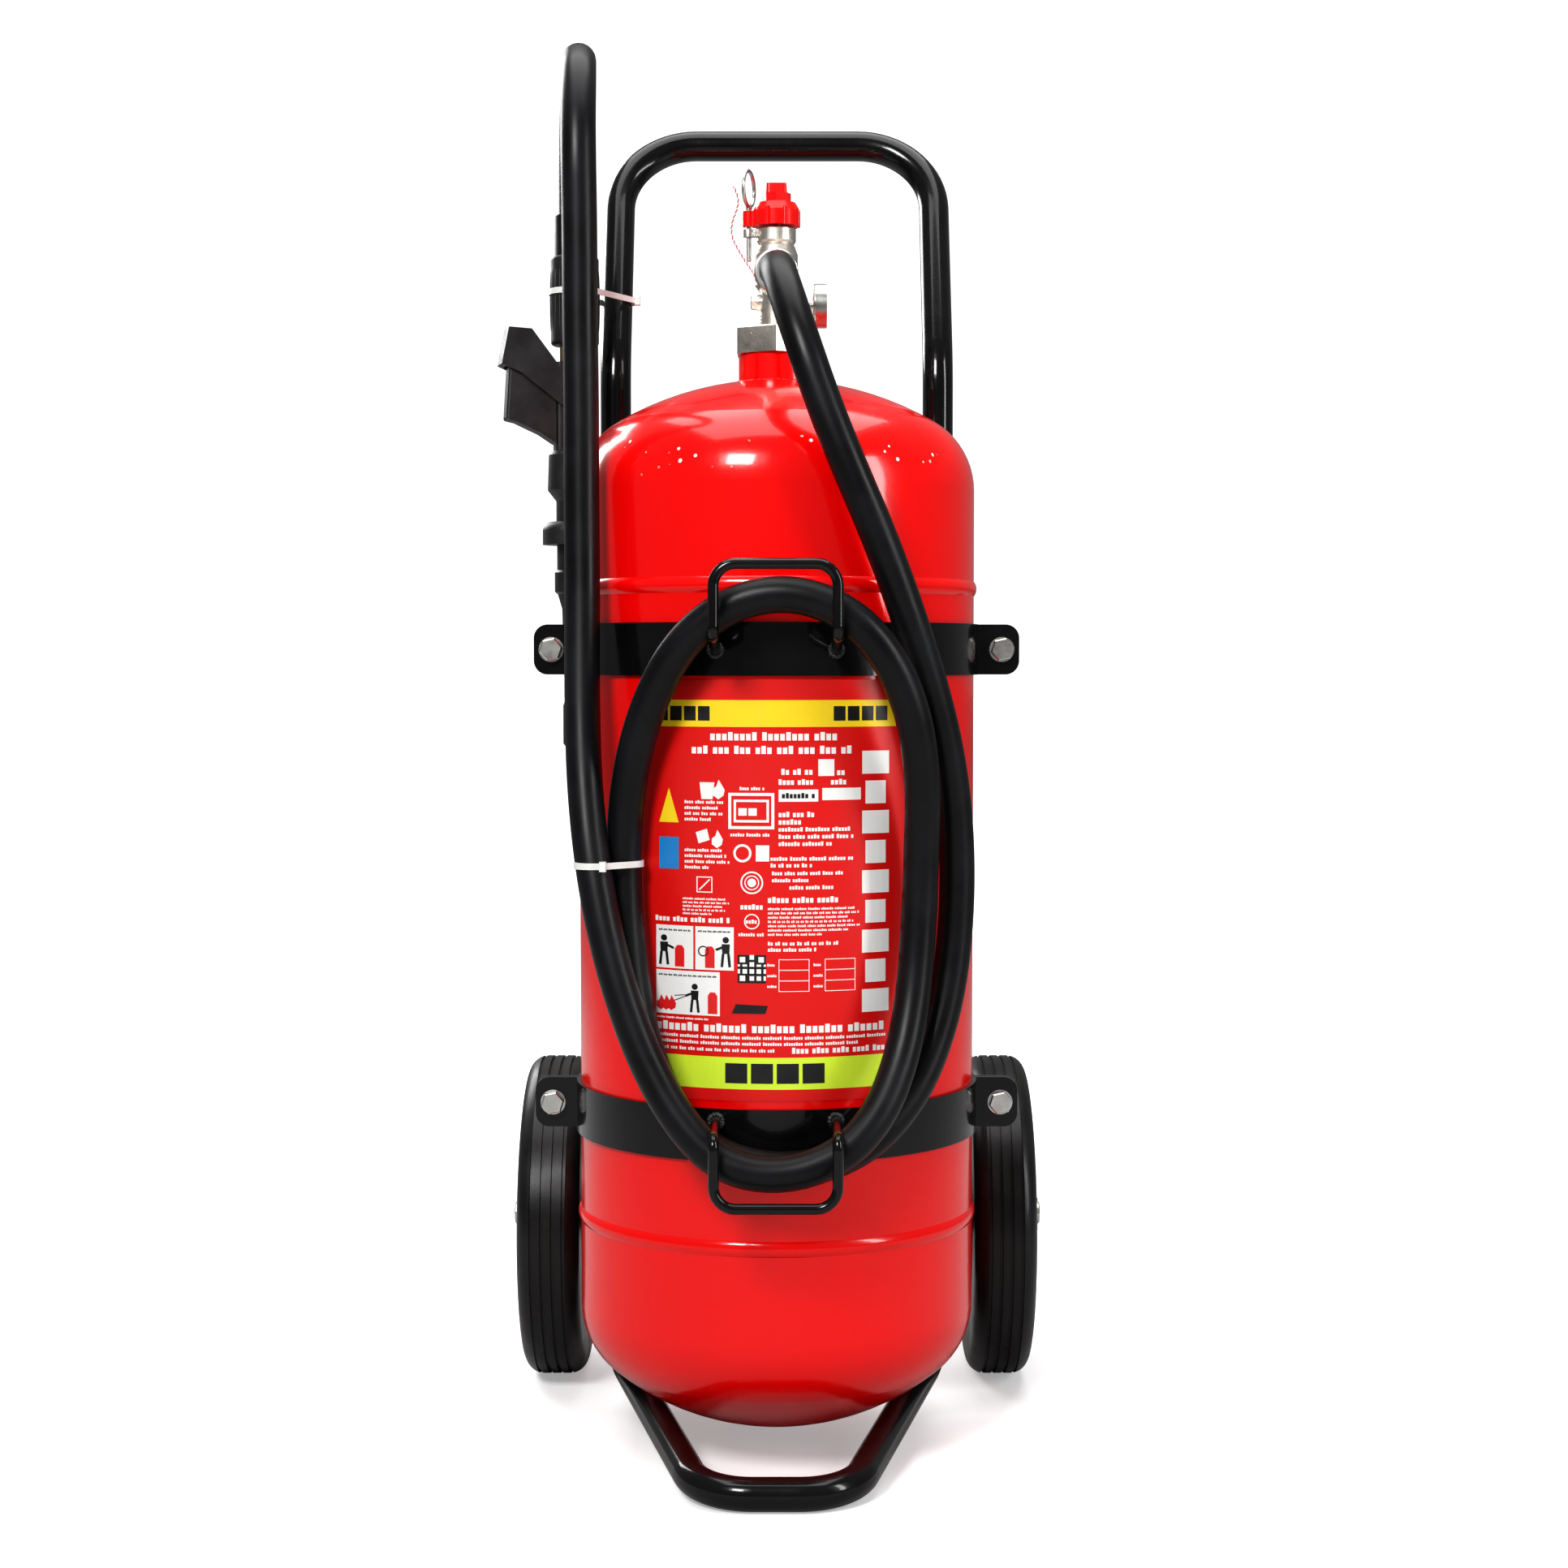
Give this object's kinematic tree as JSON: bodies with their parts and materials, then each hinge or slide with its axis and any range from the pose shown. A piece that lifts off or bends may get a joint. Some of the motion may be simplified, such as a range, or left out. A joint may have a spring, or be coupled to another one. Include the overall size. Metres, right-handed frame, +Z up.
{
  "type": "wheeled fire extinguisher",
  "caption": "Wheeled foam fire extinguisher: red tank on a bent-tube trolley with a knob valve, a coiled hose and a hand gun.",
  "frame": {"origin": "on the floor, in the middle of the footprint of the trolley, without the free hose", "axes": "+Z up, +Y to the rear where the wheels and the handle are, +X to the right as seen from the front"},
  "size_m": [0.468, 0.593, 1.1175],
  "materials": {
    "red_paint": "gloss enamel",
    "wheel_red": "gloss enamel",
    "black_paint": "gloss enamel",
    "cast_nickel": "cast, nickel plated",
    "bright_steel": "bright",
    "zinc_steel": "zinc plated",
    "brass": "turned",
    "spring_steel": "oiled",
    "red_plastic": "moulded gloss",
    "black_plastic": "moulded satin",
    "hose_rubber": "smooth satin",
    "tyre_rubber": "ribbed",
    "white_nylon": "translucent white",
    "twine": "twisted red and white",
    "label_print": "printed film",
    "dial_white": "printed",
    "needle_black": "matte",
    "clear_lens": "clear"
  },
  "bodies": {
    "root": {"axle": "zinc_steel", "axle_tube": "black_paint", "axle_washers": "zinc_steel", "band_bolts": "zinc_steel", "band_nuts": "zinc_steel", "band_washers": "zinc_steel", "dip_tube": "white_nylon", "discharge_hose": "hose_rubber", "front_label": "label_print", "gauge_case": "bright_steel", "gauge_dial": "dial_white", "gauge_lens": "clear_lens", "gauge_stem": "cast_nickel", "gun_barrel": "black_plastic", "gun_body": "black_plastic", "gun_coupling": "black_plastic", "gun_fitting": "brass", "gun_grip": "black_plastic", "gun_hose_sleeve": "hose_rubber", "gun_nozzle": "black_plastic", "gun_selector": "black_plastic", "gun_spring": "spring_steel", "gun_tie": "white_nylon", "hose_sleeve": "bright_steel", "hose_tie": "white_nylon", "left_axle_bracket": "black_paint", "lever_pin": "bright_steel", "lower_band_front": "black_paint", "lower_band_rear": "black_paint", "lower_frame_hoop": "black_paint", "lower_hose_hanger": "black_paint", "neck_boss": "red_paint", "neck_nut": "cast_nickel", "neck_seal": "hose_rubber", "outlet_adapter": "cast_nickel", "relief_plug": "cast_nickel", "right_axle_bracket": "black_paint", "seal_cord": "twine", "split_pins": "zinc_steel", "tank_shell": "red_paint", "upper_band_front": "black_paint", "upper_band_rear": "black_paint", "upper_frame_hoop": "black_paint", "upper_hose_hanger": "black_paint", "valve_body": "cast_nickel"},
    "left_wheel": {"left_tyre": "tyre_rubber", "left_rim": "wheel_red", "left_wheel_bush": "white_nylon"},
    "right_wheel": {"right_tyre": "tyre_rubber", "right_rim": "wheel_red", "right_wheel_bush": "white_nylon"},
    "knob": {"hand_knob": "red_plastic", "valve_spindle": "bright_steel"},
    "poppet": {"valve_poppet": "brass"},
    "pin": {"safety_pin": "bright_steel", "pin_ring": "bright_steel"},
    "needle": {"gauge_needle": "needle_black"},
    "lever": {"gun_lever": "black_plastic"},
    "gun_rod": {"gun_valve_rod": "brass"}
  },
  "joints": [
    {"name": "left_wheel_spin", "type": "hinge", "parent": "root", "child": "left_wheel", "pos_m": [-0.194, 0.1565, 0.14], "axis": [1, 0, 0], "continuous": true},
    {"name": "right_wheel_spin", "type": "hinge", "parent": "root", "child": "right_wheel", "pos_m": [0.194, 0.1565, 0.14], "axis": [1, 0, 0], "continuous": true},
    {"name": "knob_turn", "type": "hinge", "parent": "root", "child": "knob", "pos_m": [0, -0.0635, 0.98], "axis": [0, 0, 1], "range_deg": [0, 90]},
    {"name": "poppet_lift", "type": "slide", "parent": "root", "child": "poppet", "axis": [0, 0, 1], "range_m": [0, 0.003]},
    {"name": "pin_pull", "type": "slide", "parent": "root", "child": "pin", "axis": [0, 0, 1], "range_m": [0, 0.06]},
    {"name": "needle_swing", "type": "hinge", "parent": "root", "child": "needle", "pos_m": [0.034, -0.0635, 0.915], "axis": [1, 0, 0], "range_deg": [-90, 90], "stiffness_Nm_per_rad": 0.0005},
    {"name": "lever_squeeze", "type": "hinge", "parent": "root", "child": "lever", "pos_m": [-0.17666, 0.01591, 0.852], "axis": [0.2588, -0.9659, 0], "range_deg": [0, 12], "stiffness_Nm_per_rad": 0.6},
    {"name": "rod_lift", "type": "slide", "parent": "root", "child": "gun_rod", "axis": [0, 0, 1], "range_m": [0, 0.003]}
  ],
  "couplings": [
    {"joint": "poppet_lift", "follows": "knob_turn", "m_per_rad": 0.0019},
    {"joint": "rod_lift", "follows": "lever_squeeze", "m_per_rad": 0.0143}
  ]
}
